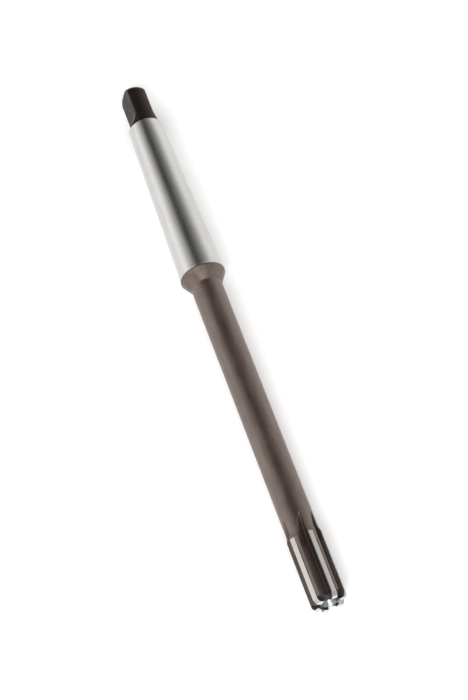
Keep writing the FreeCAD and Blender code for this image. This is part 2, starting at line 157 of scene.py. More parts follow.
def crossing(pts, length, radius, first):
    """Length at which the line enters (first) or leaves the circle."""
    inside = np.hypot(pts[:, 0], pts[:, 1]) < radius
    if not inside.any():
        return None
    if first:
        k = int(np.argmax(inside))
        if k == 0:
            return length[0]
        a, b = k - 1, k
    else:
        k = len(inside) - 1 - int(np.argmax(inside[::-1]))
        if k == len(inside) - 1:
            return length[-1]
        a, b = k, k + 1
    ra, rb = np.hypot(*pts[a]), np.hypot(*pts[b])
    f = (radius - ra) / (rb - ra)
    return length[a] + f * (length[b] - length[a])


def turn(points, degrees):
    c, n = math.cos(math.radians(degrees)), math.sin(math.radians(degrees))
    points = np.asarray(points, float)
    return np.stack([points[:, 0] * c - points[:, 1] * n, points[:, 0] * n + points[:, 1] * c], 1)


def arc_points(radius, a0, a1, count):
    t = np.radians(np.linspace(a0, a1, count + 1))
    return np.stack([radius * np.cos(t), radius * np.sin(t)], 1)


HEEL = 0.05   # width of the small chamfer on each tooth's heel, mm


def flute_part(tooth, s, with_wall):
    """Points of the flute from the wall's top (or its foot) to the heel, in tooth
    axes: N_WALL + N_ROOT + N_FLANK + 1 of them, or without the wall's."""
    r_out = head_radius(s)
    r_back = min(r_out, BACK_R)
    if s > GASH_S + 1e-6:
        pts, length, marks = gash_line(tooth, s)
        t_end = crossing(pts, length, r_back, False)
        t_end -= min(HEEL, 0.1 * (t_end - marks[2]))
        t1, t2 = marks[1], marks[2]
        t3 = min(marks[3], t2 + 0.75 * (t_end - t2))
        t = np.concatenate([np.linspace(0, t1, 3), np.linspace(t1, t2, 10)[1:],
                            np.linspace(t2, t3, 6)[1:], np.linspace(t3, t_end, 6)[1:]])
        return at(pts, length, t)
    pts, length, t_foot, t_arc = flute_line(tooth, s)
    t_out = crossing(pts, length, r_back, False)
    t_in = crossing(pts, length, r_out, True)
    span = t_out - t_in
    t_end = t_out - min(HEEL, 0.08 * span)
    if not with_wall:
        t = np.concatenate([np.linspace(t_foot, t_arc, N_ROOT + 1),
                            np.linspace(t_arc, t_end, N_FLANK + 1)[1:]])
        return at(pts, length, t)
    ta = max(t_foot, t_in + 0.12 * span)
    tb = max(t_arc, ta + 0.25 * span)
    tb = min(tb, t_end - 0.25 * span)
    ta = min(ta, tb - 0.1 * span)
    t = np.concatenate([np.linspace(t_in, ta, N_WALL + 1), np.linspace(ta, tb, N_ROOT + 1)[1:],
                        np.linspace(tb, t_end, N_FLANK + 1)[1:]])
    return at(pts, length, t)


def contact_station(tooth):
    low, high = 140.0, 147.0
    for _ in range(40):
        mid = (low + high) / 2
        pts, _, _, _ = flute_line(tooth, mid)
        if np.hypot(pts[:, 0], pts[:, 1]).min() < NECK_R - 0.0015:
            high = mid
        else:
            low = mid
    return high


CONTACT = [contact_station(k) for k in range(6)]
CONTACT_ALL = max(CONTACT) + 1e-4


def deg(point):
    return math.degrees(math.atan2(point[1], point[0]))


def outline(s):
    """Ring of N points for stations behind the seats."""
    r_out = head_radius(s)
    r_back = min(r_out, BACK_R)
    rows = []
    parts = [flute_part(k, max(s, CONTACT_ALL), True) for k in range(6)]
    for k in range(6):
        before = parts[k - 1]
        gap = (EDGES[k] - EDGES[k - 1]) % 360.0
        heel = before[-1]
        # the heel's chamfer ends a little further round the back
        r_b0 = min(head_radius(max(s, CONTACT_ALL)), BACK_R)
        e = math.degrees(min(HEEL, 0.3 * np.hypot(*(before[-1] - before[0]))) / r_b0)
        start = deg(heel) + e - gap
        step = math.degrees(math.asin(-TIP_T / r_back))
        part = parts[k]
        top = deg(part[0])
        edge = math.degrees(math.asin(-MARGIN / r_out))
        rows.append(turn(arc_points(r_back, start, step, N_BACK), EDGES[k]))
        land = np.concatenate([np.linspace(step, edge, N_LAND - 1)[1:],
                               np.linspace(edge, top, 4)[1:-1]])
        reach = np.minimum(r_out, FLAT_DIST / np.cos(np.radians(land) + RELIEF))
        rows.append(turn(np.stack([reach * np.cos(np.radians(land)), reach * np.sin(np.radians(land))], 1),
                         EDGES[k]))
        body = part.copy()
        if s < CONTACT_ALL:
            body *= (r_out / np.hypot(body[:, 0], body[:, 1]))[:, None]
        rows.append(turn(body, EDGES[k]))
    ring = np.concatenate(rows)
    assert len(ring) == N, (len(ring), N)
    return ring


N_SEATWALL, N_SEATFLOOR = 5, 4
PER_SEAT = N_BACK + N_SEATWALL + N_SEATFLOOR + N_ROOT + N_FLANK + 1


def seat_outline(s, gash=None):
    """Ring for stations with seats.  At the gash's start, gash picks the side."""
    use = s if not gash else s + 2e-6
    r_back = min(head_radius(s), BACK_R)
    parts = [flute_part(k, use, False) for k in range(6)]
    rows = []
    for k in range(6):
        before = parts[k - 1]
        gap = (EDGES[k] - EDGES[k - 1]) % 360.0
        e = math.degrees(min(HEEL, 0.3 * np.hypot(*(before[-1] - before[0]))) / r_back)
        start = deg(before[-1]) + e - gap
        top = math.degrees(math.asin(-TIP_T / r_back))
        x0 = math.sqrt(r_back * r_back - TIP_T * TIP_T)
        rows.append(turn(arc_points(r_back, start, top, N_BACK), EDGES[k]))
        wall = np.stack([np.linspace(x0, TIP_IN, N_SEATWALL + 1),
                         np.full(N_SEATWALL + 1, -TIP_T)], 1)[1:]
        floor = np.stack([np.full(N_SEATFLOOR + 1, TIP_IN),
                          np.linspace(-TIP_T, 0.0, N_SEATFLOOR + 1)], 1)[1:-1]
        rows.append(turn(wall, EDGES[k]))
        rows.append(turn(floor, EDGES[k]))
        rows.append(turn(parts[k], EDGES[k]))
    return np.concatenate(rows)


# ------------------------------------------------------------------ mesh maker
class Maker:
    def __init__(self):
        self.verts, self.faces, self.mats = [], [], []

    def ring(self, points, s):
        base = len(self.verts)
        if np.isscalar(s):
            s = np.full(len(points), float(s))
        for (y, z), station in zip(points, s):
            self.verts.append((station, y, z))
        return list(range(base, base + len(points)))

    def face(self, ids, mat):
        clean = []
        for i in ids:
            if not clean or clean[-1] != i:
                clean.append(i)
        if clean[0] == clean[-1]:
            clean.pop()
        if len(clean) >= 3:
            self.faces.append(tuple(clean))
            self.mats.append(mat)

    def join(self, a, b, mats):
        n = len(a)
        for k in range(n):
            m = mats if isinstance(mats, int) else mats[k]
            j = (k + 1) % n
            self.face((a[k], a[j], b[j], b[k]), m)

    def fan(self, centre, ring, mat, outward):
        n = len(ring)
        for k in range(n):
            j = (k + 1) % n
            self.face((centre, ring[j], ring[k]) if outward else (centre, ring[k], ring[j]), mat)

    def build(self, name, materials, sharp=13.5):
        mesh = bpy.data.meshes.new(name)
        mesh.from_pydata([world(*v) for v in self.verts], [], self.faces)
        for m in materials:
            mesh.materials.append(m)
        mesh.polygons.foreach_set("material_index", self.mats)
        mesh.validate()
        mesh.update()
        mesh.shade_smooth()
        mesh.set_sharp_from_angle(angle=math.radians(sharp))
        ob = bpy.data.objects.new(name, mesh)
        bpy.context.scene.collection.objects.link(ob)
        return ob


def circle(radius, angles):
    t = np.radians(angles)
    return np.stack([radius * np.cos(t), radius * np.sin(t)], 1)


UNIFORM0 = np.linspace(0.0, 360.0, N, endpoint=False)


def ring_angles(points):
    a = np.degrees(np.arctan2(points[:, 1], points[:, 0]))
    return np.degrees(np.unwrap(np.radians(a)))


contact_angles = ring_angles(outline(CONTACT_ALL))
UNIFORM = UNIFORM0 + (contact_angles - UNIFORM0).mean()


# The tang: flats of half-width angle beta about FLAT_ANGLE and its opposite.
N_FLATSEG = 40
N_HALF = N // 2


def tang_angles(beta):
    """Angles of the N points: each half has N_FLATSEG segments on a flat and the
    rest on the round side; the first point is where UNIFORM starts."""
    base = 151.2
    across = np.degrees(np.arctan(np.linspace(-1, 1, N_FLATSEG + 1) * math.tan(math.radians(beta))))
    round_part = np.linspace(beta, 180.0 - beta, N_HALF - N_FLATSEG + 1)
    half = np.concatenate([across[:-1], round_part[:-1]])
    full = np.concatenate([half, half + 180.0]) + base
    rolled = np.concatenate([full[TANG_SHIFT:], full[:TANG_SHIFT] + 360.0])
    return rolled - 360.0 * round((rolled[0] - UNIFORM[0]) / 360.0)


def _find_shift():
    beta = 8.0
    across = np.degrees(np.arctan(np.linspace(-1, 1, N_FLATSEG + 1) * math.tan(math.radians(beta))))
    round_part = np.linspace(beta, 180.0 - beta, N_HALF - N_FLATSEG + 1)
    half = np.concatenate([across[:-1], round_part[:-1]])
    full = np.concatenate([half, half + 180.0]) + 151.2
    best, pick = 1e9, 0
    for k in range(N):
        rolled = np.concatenate([full[k:], full[:k] + 360.0])
        rolled = rolled - 360.0 * round((rolled[0] - UNIFORM[0]) / 360.0)
        err = np.abs(rolled - UNIFORM).max()
        if err < best:
            best, pick = err, k
    return pick


TANG_SHIFT = _find_shift()


def tang_radius(s):
    if s < TIP_ROUND:
        return TANG_R - TIP_ROUND + math.sqrt(max(TIP_ROUND ** 2 - (TIP_ROUND - s) ** 2, 0.0))
    return TANG_R


def tang_half(s):
    if s <= FLAT_LEN:
        return FLAT_H
    d = s - FLAT_LEN
    return FLAT_H + RUN_R - math.sqrt(max(RUN_R ** 2 - d * d, 0.0))


def tang_ring(s):
    r, h = tang_radius(s), tang_half(s)
    beta = math.degrees(math.acos(min(h / r, 1.0))) if h < r else 0.0
    beta = max(beta, 9.0)
    angles = tang_angles(beta)
    away = np.radians((angles - 151.2 + 90.0) % 180.0 - 90.0)
    radii = np.minimum(r, h / np.maximum(np.cos(away), 1e-6))
    t = np.radians(angles)
    return np.stack([radii * np.cos(t), radii * np.sin(t)], 1)


def tang_mats():
    """Slot of each segment: the flats' own slot, else oxide."""
    flat_segments = [TANGFLAT] * N_FLATSEG + [OXIDE] * (N_HALF - N_FLATSEG)
    full = flat_segments + flat_segments
    return full[TANG_SHIFT:] + full[:TANG_SHIFT]


def rounded(points, radius, steps=3):
    """A turned profile with small rounds: points are (s, r, round or 0)."""
    out = []
    for k, (s, r, e) in enumerate(points):
        if not e or k in (0, len(points) - 1):
            out.append((s, r))
            continue
        p, q = np.array(points[k - 1][:2]), np.array(points[k + 1][:2])
        c = np.array((s, r))
        u, v = (p - c) / np.hypot(*(p - c)), (q - c) / np.hypot(*(q - c))
        a, b = c + u * e, c + v * e
        for t in np.linspace(0, 1, steps + 1):
            m = (1 - t) ** 2 * a + 2 * t * (1 - t) * c + t * t * b
            out.append((float(m[0]), float(m[1])))
    return out


def body_mesh(materials):
    m = Maker()
    mats_t = tang_mats()
    tang_a = tang_angles(9.0)
    # tang centre hole
    ring0 = tang_a
    apex = len(m.verts)
    m.verts.append((3.2 + 0.8 / math.tan(math.radians(59)), 0.0, 0.0))
    pilot = m.ring(circle(0.8, ring0), 3.2)
    m.fan(apex, pilot, CENTRE, False)
    last = pilot
    for s, r in ((2.2, 0.8), (0.8 / math.tan(math.radians(30)), 0.8), (0.7, 1.195), (0.03, 1.583), (0.0, 1.62)):
        new = m.ring(circle(r, ring0), s)
        m.join(last, new, CENTRE)
        last = new
    end_in = tang_ring(0.0)
    mid = m.ring((circle(1.62, ring0) + end_in) / 2, 0.0)
    m.join(last, mid, OXIDE)
    outer = m.ring(end_in, 0.0)
    m.join(mid, outer, OXIDE)
    last = outer
    stations = [TIP_ROUND * (1 - math.cos(t)) for t in np.linspace(0, math.pi / 2, 13)[1:]]
    stations += [2.4, 3.4, 4.6, 6.0, 7.4, 8.2, FLAT_LEN]
    end = FLAT_LEN + math.sqrt(RUN_R ** 2 - (RUN_R - (TANG_R - FLAT_H)) ** 2)
    stations += list(FLAT_LEN + (end - FLAT_LEN) * np.linspace(0, 1, 19)[1:]) + [12.75]
    for s in stations:
        new = m.ring(tang_ring(s), s)
        m.join(last, new, mats_t if s <= end else OXIDE)
        last = new
    new = m.ring(circle(TANG_R, tang_a), SMALL_S)
    m.join(last, new, OXIDE)
    last = new
    # turned and ground shank, from the shoulder at the taper's small end
    small = SMALL_R + SMALL_EDGE / 20.047 / 2
    profile = rounded([(SMALL_S, SMALL_R - SMALL_EDGE - 0.05, 0), (SMALL_S, SMALL_R - SMALL_EDGE, 0.04),
                       (SMALL_S + SMALL_EDGE, small, 0.08), (BIG_S, BIG_R, 0.3),
                       (RISE_S, BIG_R, 0.05), (RISE_S + RISE, COLLAR_R, 0.06),
                       (COLLAR_S, COLLAR_R, 0.10), (NECK_S, NECK_R, 0.13), (NECK_S + 1.0, NECK_R, 0)], 0.0)
    previous = (SMALL_S, TANG_R)
    for s, r in profile:
        if s - previous[0] > 6.0:
            count = int((s - previous[0]) // 5)
            for t in np.linspace(0, 1, count + 1)[1:-1]:
                ss, rr = previous[0] + (s - previous[0]) * t, previous[1] + (r - previous[1]) * t
                new = m.ring(circle(rr, UNIFORM), ss)
                m.join(last, new, GROUND)
                last = new
        new = m.ring(circle(r, UNIFORM), s)
        mat = GROUND if s <= RISE_S + RISE + 0.03 else (CONE if s <= NECK_S + 0.01 else BROWN)
        m.join(last, new, mat)
        last, previous = new, (s, r)
    # neck: the points drift round from even spacing to the flutes' own
    for t in np.linspace(0, 1, 22)[1:]:
        s = NECK_S + 1.0 + (CONTACT_ALL - 0.4 - NECK_S - 1.0) * t
        blend = t * t * (3 - 2 * t)
        new = m.ring(circle(NECK_R, UNIFORM * (1 - blend) + contact_angles * blend), s)
        m.join(last, new, BROWN)
        last = new
    per = ([BACKING] * N_BACK + [LANDS] * (N_LAND + 1) + [FLUTE] * (N_WALL + N_ROOT + N_FLANK) + [FLUTE])

    def mats_at(s):
        plain = s <= NECK_END + 1e-6
        ramp = s <= HEAD_S + 1e-6
        row = []
        for seg in per:
            if seg in (LANDS, BACKING) and ramp:
                row.append(BROWN if plain else RAMP)
            else:
                row.append(seg)
        return row * 6

    runout = [0.0, 0.015, 0.05, 0.11, 0.2, 0.32, 0.48, 0.68, 0.92, 1.2, 1.52, 1.88, 2.28, 2.7, 3.15, 3.6]
    stations = [CONTACT_ALL + d for d in runout if CONTACT_ALL + d < NECK_END - 0.15] + [NECK_END]
    stations += [NECK_END + (HEAD_S - NECK_END) * t for t in (0.15, 0.34, 0.52)]
    stations += [NECK_END + (HEAD_S - NECK_END) * (BACK_R - NECK_R) / (HEAD_R - NECK_R),
                 NECK_END + (HEAD_S - NECK_END) * 0.86, HEAD_S, 149.9, 150.35, 150.8, 151.3, 151.7]
    for s in stations:
        new = m.ring(outline(s), s)
        m.join(last, new, mats_at(s) if s > CONTACT_ALL + 1e-6 else BROWN)
        last = new
    # the seats' rear faces: the outline behind them meets the outline with seats
    full = m.ring(outline(RUN_S), RUN_S)
    m.join(last, full, mats_at(RUN_S))
    seats = seat_outline(RUN_S)
    cut = []
    for k in range(6):
        f0, c0 = k * PER_TOOTH, k * PER_SEAT
        row = [full[f0 + j] for j in range(N_BACK + 1)]
        inner = m.ring(seats[c0 + N_BACK + 1:c0 + N_BACK + N_SEATWALL + N_SEATFLOOR], RUN_S)
        row += inner
        foot = f0 + N_BACK + 1 + N_LAND + N_WALL
        row += [full[foot + j] for j in range(N_ROOT + N_FLANK + 1)]
        cut += row
        upper = [full[f0 + j] for j in range(N_BACK, N_BACK + 1 + N_LAND + N_WALL + 1)]
        m.face(tuple(upper + inner[::-1]), SEAT)
    assert len(cut) == 6 * PER_SEAT, (len(cut), 6 * PER_SEAT)
    per_seat = ([BACKING] * N_BACK + [SEAT] * N_SEATWALL + [SEAT] * N_SEATFLOOR
                + [FLUTE] * (N_ROOT + N_FLANK) + [FLUTE]) * 6
    per_cone = ([FRONT] * N_BACK + [SEAT] * N_SEATWALL + [SEAT] * N_SEATFLOOR
                + [GASH] * (N_ROOT + N_FLANK) + [FRONT]) * 6
    last = cut
    for s in list(np.linspace(RUN_S, 166.2, 12)[1:]) + [CONE_S, GASH_S]:
        new = m.ring(seat_outline(s), s)
        m.join(last, new, per_seat)
        last = new
    new = m.ring(seat_outline(GASH_S, gash=True), GASH_S)
    m.join(last, new, per_cone)
    last = new
    chamfer_s = CONE_S + (CORE_END - CONE_S) * (HEAD_R - BACK_R) / (HEAD_R - CONE_END_R)
    for s in [chamfer_s, 166.7, 166.88, 167.05, 167.2, 167.33, 167.44, CORE_END]:
        new = m.ring(seat_outline(s, gash=True), s)
        m.join(last, new, per_cone if s > chamfer_s + 1e-6 else per_seat)
        last = new
    # front face between the outline and the centre hole's rim
    n_rim = 96
    rim_angles = np.linspace(0, 360, n_rim, endpoint=False)
    rim = m.ring(circle(2.0, rim_angles), CORE_END)
    loops = [[Vector((m.verts[i][1], m.verts[i][2], 0.0)) for i in last],
             [Vector((m.verts[i][1], m.verts[i][2], 0.0)) for i in rim]]
    ids = last + rim
    for tri in tessellate_polygon(loops):
        p = [Vector((m.verts[ids[i]][1], m.verts[ids[i]][2])) for i in tri]
        area = (p[1] - p[0]).cross(p[2] - p[0])
        order = tri if area > 0 else tri[::-1]
        m.face([ids[i] for i in order], FRONT)
    last = rim
    tan30 = math.tan(math.radians(30))
    for s, r in ((CORE_END - 0.03, 1.965), (CORE_END - 0.5 / tan30, 1.5), (CORE_END - 1.0 / tan30, 1.0),
                 (CORE_END - 3.0, 1.0), (CORE_END - 4.2, 1.0)):
        new = m.ring(circle(r, rim_angles), s)
        m.join(last, new, CENTRE)
        last = new
    apex = len(m.verts)
    m.verts.append((CORE_END - 4.2 - 1.0 / math.tan(math.radians(59)), 0.0, 0.0))
    m.fan(apex, last, CENTRE, True)
    return m.build("reamer_body_finish", materials)


def tip_mesh(number, degrees, materials):
    """A carbide tip: flat rake and back, round margin with flat relief behind it,
    conical lead, relieved end."""
    m = Maker()
    n_flat, n_margin = 8, 6
    y_land = np.concatenate([np.linspace(-TIP_T, -MARGIN, n_flat + 1), np.linspace(-MARGIN, 0.0, n_margin + 1)[1:]])
    flat_x = np.where(y_land < -MARGIN,
                      FLAT_TOP[0] + (y_land + MARGIN) * math.tan(RELIEF), np.sqrt(HEAD_R ** 2 - y_land ** 2))
    e = 0.02   # the tip's edges are honed, not knife sharp
    foot = [(TIP_IN, -TIP_T + e), (TIP_IN + e, -TIP_T)]
    rake = [(TIP_IN + e, 0.0), (TIP_IN, -e)]
    n = len(foot) + len(y_land) + len(rake)
    all_y = np.array([y for _, y in foot] + list(y_land) + [y for _, y in rake])
    lead_s = OVERALL - LEAD_LEN

    def lead_radius(s):
        return HEAD_R - np.maximum(s - lead_s, 0.0) * LEAD / LEAD_LEN

    def points(xs):
        return turn(foot + list(zip(xs, y_land)) + rake, degrees)

    # slots: 0 rake, 1 relief flat, 2 lead, 3 end, 4 hidden, 5 margin
    def mats(lead):
        row = [4] * n
        for k in range(n_flat + n_margin):
            row[2 + k] = 2 if lead else (1 if k < n_flat else 5)
        row[2 + n_flat + n_margin] = 0
        return row

    last = None
    for s in np.linspace(RUN_S, lead_s - 0.4, 9):
        new = m.ring(points(flat_x), s)
        if last is None:
            m.face(tuple(new[::-1]), 4)
        else:
            m.join(last, new, mats(False))
        last = new
    # the lead's cone meets the relief flat further forward than the margin
    start = lead_s + (HEAD_R - np.hypot(flat_x, y_land)) * LEAD_LEN / LEAD
    stations = np.concatenate([[lead_s] * 2, start, [lead_s] * 2])
    begin = m.ring(points(flat_x), stations)
    m.join(last, begin, mats(False))
    end_s = OVERALL + END_RELIEF * all_y / TIP_T
    end_x = np.minimum(flat_x, np.sqrt(lead_radius(end_s[2:-2]) ** 2 - y_land ** 2))
    half = m.ring((points(flat_x) + points(end_x)) / 2, (stations + end_s) / 2)
    m.join(begin, half, mats(True))
    front = m.ring(points(end_x), end_s)
    m.join(half, front, mats(True))
    m.face(tuple(front), 3)
    return m.build("carbide_tip_%d_ground" % number, materials, sharp=9.0)


def bead(m, path, profile_of, mat=0):
    """Closed bar: profile_of(k) gives the section's corners at path index k."""
    last = None
    for k in range(len(path)):
        ids = []
        for v in profile_of(k):
            ids.append(len(m.verts))
            m.verts.append(tuple(v))
        if last is None:
            m.face(tuple(ids[::-1]), mat)
        else:
            m.join(last, ids, mat)
        last = ids
    m.face(tuple(last), mat)


def braze_mesh(materials):
    """The braze that shows: a fillet behind each tip and a fine bead at its foot
    and at its rear end."""
    m = Maker()
    for tooth, degrees in enumerate(EDGES):
        stations = np.linspace(RUN_S + 0.02, 166.5, 60)
        rng = np.random.default_rng(100 + tooth)
        rough = 1.0 + 0.22 * np.convolve(rng.standard_normal(70), np.ones(8) / 8 ** 0.5, "valid")[:60]
        rough = np.clip(rough, 0.55, 1.5)

        def back(k):
            e = rough[k]
            a0 = math.asin(-TIP_T / BACK_R)
            wide = 0.21 * e / BACK_R
            pts = []
            for turned_by, rise in ((0.10, -0.03), (-1.0, -0.03), (-1.0, 0.004), (-0.62, 0.016), (-0.2, 0.022),
                                    (0.06, 0.012)):
                a, r = a0 + wide * turned_by, BACK_R + rise
                pts.append((r * math.cos(a), r * math.sin(a)))
            return [(stations[k], y, z) for y, z in turn(pts, degrees)]

        bead(m, stations, back)

        def foot(k):
            e = rough[::-1][k]
            w = 0.05 * e
            pts = turn([(TIP_IN - 0.03, -0.03), (TIP_IN + w, -0.02), (TIP_IN + w * 0.8, 0.018),
                        (TIP_IN, 0.032 * e), (TIP_IN - w * 0.8, 0.026), (TIP_IN - w, 0.0)], degrees)
            return [(stations[k], y, z) for y, z in pts]

        bead(m, stations, foot)

        # rear end: down the wall from the land to the foot
        xs = np.linspace(HEAD_R - 0.02, TIP_IN, 26)
        wob = np.clip(1.0 + 0.25 * np.convolve(rng.standard_normal(33), np.ones(8) / 8 ** 0.5, "valid"), 0.6, 1.5)

        def rear(k):
            w = 0.06 * wob[k]
            x = xs[k]
            rows = [(RUN_S - w, -0.02), (RUN_S + w, -0.02), (RUN_S + w * 0.7, 0.02), (RUN_S, 0.034),
                    (RUN_S - w * 0.7, 0.02)]
            out = []
            for s, y in rows:
                q = turn([(x, y)], degrees)[0]
                out.append((s, q[0], q[1]))
            return out

        bead(m, xs, rear)
    return m.build("braze_seams", materials, sharp=50.0)


# ------------------------------------------------------------------ materials
INV = A.transposed()
EUL = INV.to_euler("XYZ")
LOC = -(INV @ T)


class Mat:
    """A node material with coordinates in the tool's own frame, in millimetres."""

    def __init__(self, name):
        self.mat = bpy.data.materials.new(name)
        self.mat.use_nodes = True
        self.nt = self.mat.node_tree
        self.nt.nodes.clear()
        self.out = self.node("ShaderNodeOutputMaterial")
        self.bsdf = self.node("ShaderNodeBsdfPrincipled")
        self.link(self.bsdf.outputs[0], self.out.inputs[0])
        coord = self.node("ShaderNodeTexCoord")
        mapping = self.node("ShaderNodeMapping")
        mapping.vector_type = "POINT"
        mapping.inputs["Scale"].default_value = (1000.0, 1000.0, 1000.0)
        mapping.inputs["Rotation"].default_value = EUL
        mapping.inputs["Location"].default_value = LOC
        self.link(coord.outputs["Object"], mapping.inputs["Vector"])
        self.p = mapping.outputs[0]
        split = self.node("ShaderNodeSeparateXYZ")
        self.link(self.p, split.inputs[0])
        self.s, self.y, self.z = split.outputs

    def node(self, kind, **kw):
        n = self.nt.nodes.new(kind)
        for k, v in kw.items():
            setattr(n, k, v)
        return n

    def link(self, a, b):
        self.nt.links.new(a, b)

    def put(self, value, socket):
        if hasattr(value, "is_output"):
            self.link(value, socket)
        else:
            socket.default_value = value

    def math(self, op, a, b=None, clamp=False):
        n = self.node("ShaderNodeMath", operation=op)
        n.use_clamp = clamp
        self.put(a, n.inputs[0])
        if b is not None:
            self.put(b, n.inputs[1])
        return n.outputs[0]

    def scaled(self, sx, sy, sz, offset=(0, 0, 0), source=None):
        n = self.node("ShaderNodeMapping")
        n.vector_type = "POINT"
        n.inputs["Scale"].default_value = (sx, sy, sz)
        n.inputs["Location"].default_value = offset
        self.link(source or self.p, n.inputs["Vector"])
        return n.outputs[0]

    def noise(self, vector, scale=1.0, detail=3.0, rough=0.5, distortion=0.0):
        n = self.node("ShaderNodeTexNoise")
        n.inputs["Scale"].default_value = scale
        n.inputs["Detail"].default_value = detail
        n.inputs["Roughness"].default_value = rough
        n.inputs["Distortion"].default_value = distortion
        self.link(vector, n.inputs["Vector"])
        return n.outputs["Fac"]

    def ramp(self, fac, stops, kind="LINEAR"):
        n = self.node("ShaderNodeValToRGB")
        n.color_ramp.interpolation = kind
        els = n.color_ramp.elements
        while len(els) > 1:
            els.remove(els[-1])
        for k, (pos, col) in enumerate(stops):
            e = els[0] if k == 0 else els.new(pos)
            e.position = pos
            e.color = (*col, 1.0) if len(col) == 3 else col
        self.link(fac, n.inputs[0])
        return n.outputs["Color"]

    def span(self, value, a, b, c, d, smooth=False):
        n = self.node("ShaderNodeMapRange")
        n.interpolation_type = "SMOOTHSTEP" if smooth else "LINEAR"
        n.clamp = True
        self.put(value, n.inputs["Value"])
        for k, v in zip(("From Min", "From Max", "To Min", "To Max"), (a, b, c, d)):
            self.put(v, n.inputs[k])
        return n.outputs["Result"]

    def mix(self, fac, a, b, kind="MIX"):
        n = self.node("ShaderNodeMix", data_type="RGBA", blend_type=kind)
        self.put(fac, n.inputs[0])
        for value, socket in ((a, n.inputs[6]), (b, n.inputs[7])):
            if hasattr(value, "is_output"):
                self.link(value, socket)
            else:
                socket.default_value = (*value, 1.0)
        return n.outputs[2]

    def bump(self, height, strength, distance, normal=None):
        n = self.node("ShaderNodeBump")
        n.inputs["Strength"].default_value = strength
        n.inputs["Distance"].default_value = distance
        self.link(height, n.inputs["Height"])
        if normal is not None:
            self.link(normal, n.inputs["Normal"])
        return n.outputs[0]

    def finish(self, color=None, rough=None, normal=None, metallic=1.0, **sockets):
        b = self.bsdf
        if color is not None:
            self.link(color, b.inputs["Base Color"])
        if rough is not None:
            self.link(rough, b.inputs["Roughness"])
        if normal is not None:
            self.link(normal, b.inputs["Normal"])
        b.inputs["Metallic"].default_value = metallic
        for name, value in sockets.items():
            b.inputs[name.replace("_", " ")].default_value = value
        return self.mat


def ground_shank():
    """Cylindrically ground taper: fine rings round the axis, faint even variation."""
    m = Mat("ground_shank_steel")
    rings = m.noise(m.scaled(14.0, 0.35, 0.35), 1.0, 4.0, 0.65)
    fine = m.noise(m.scaled(42.0, 0.9, 0.9, (3.1, 0.0, 7.7)), 1.0, 2.0, 0.6)
    cloud = m.noise(m.scaled(0.12, 0.5, 0.5, (9.0, 2.0, 1.0)), 1.0, 3.0, 0.5)
    tone = m.math("ADD", m.math("MULTIPLY", rings, 0.6), m.math("MULTIPLY", cloud, 0.4))
    color = m.ramp(tone, [(0.30, (0.475, 0.470, 0.462)), (0.5, (0.535, 0.528, 0.518)), (0.72, (0.585, 0.578, 0.566))])
    rough = m.span(m.math("ADD", m.math("MULTIPLY", fine, 0.6), m.math("MULTIPLY", cloud, 0.4)), 0.3, 0.7, 0.20, 0.31)
    n1 = m.bump(rings, 0.10, 0.00002)
    n2 = m.bump(fine, 0.12, 0.00001, n1)
    return m.finish(color, rough, n2)


def temper_brown(name, lighter=1.0, along=False):
    """Hardened steel with a brown temper skin over turned or ground marks."""
    m = Mat(name)
    if along:
        marks = m.noise(m.scaled(0.25, 9.0, 9.0), 1.0, 4.0, 0.6)
        fine = m.noise(m.scaled(0.6, 26.0, 26.0, (5.0, 1.0, 2.0)), 1.0, 2.0, 0.6)
    else:
        marks = m.noise(m.scaled(11.0, 0.4, 0.4), 1.0, 4.0, 0.6)
        fine = m.noise(m.scaled(34.0, 1.0, 1.0, (5.0, 1.0, 2.0)), 1.0, 2.0, 0.6)
    cloud = m.noise(m.scaled(0.16, 0.55, 0.55, (1.0, 4.0, 3.0)), 1.0, 4.0, 0.55)
    tone = m.math("ADD", m.math("MULTIPLY", marks, 0.45), m.math("MULTIPLY", cloud, 0.55))
    k = lighter
    color = m.ramp(tone, [(0.30, (0.128 * k, 0.098 * k, 0.086 * k)), (0.5, (0.172 * k, 0.132 * k, 0.117 * k)),
                          (0.72, (0.222 * k, 0.176 * k, 0.157 * k))])
    rough = m.span(m.math("ADD", m.math("MULTIPLY", fine, 0.5), m.math("MULTIPLY", cloud, 0.5)), 0.3, 0.7, 0.33, 0.46)
    n1 = m.bump(marks, 0.12, 0.00002)
    n2 = m.bump(fine, 0.14, 0.00001, n1)
    return m.finish(color, rough, n2, metallic=0.9)


def black_oxide(name, flat_face=False):
    """Forge and oil black on the tang; the milled flats show their cutter's lines."""
    m = Mat(name)
    if flat_face:
        lines = m.noise(m.scaled(1.2, 5.5, 5.5), 1.0, 4.0, 0.6)
    else:
        lines = m.noise(m.scaled(7.0, 0.6, 0.6), 1.0, 4.0, 0.6)
    cloud = m.noise(m.scaled(0.35, 0.45, 0.45, (2.0, 8.0, 4.0)), 1.0, 4.0, 0.6)
    tone = m.math("ADD", m.math("MULTIPLY", lines, 0.5), m.math("MULTIPLY", cloud, 0.5))
    if flat_face:
        color = m.ramp(tone, [(0.3, (0.010, 0.009, 0.009)), (0.52, (0.015, 0.013, 0.013)), (0.72, (0.024, 0.020, 0.020))])
    else:
        color = m.ramp(tone, [(0.3, (0.016, 0.011, 0.011)), (0.52, (0.026, 0.018, 0.017)), (0.72, (0.046, 0.029, 0.026))])
    rough = m.span(cloud, 0.3, 0.7, 0.38, 0.52)
    n1 = m.bump(lines, 0.2, 0.00002)
    return m.finish(color, rough, n1, metallic=0.75, Specular_IOR_Level=0.25)


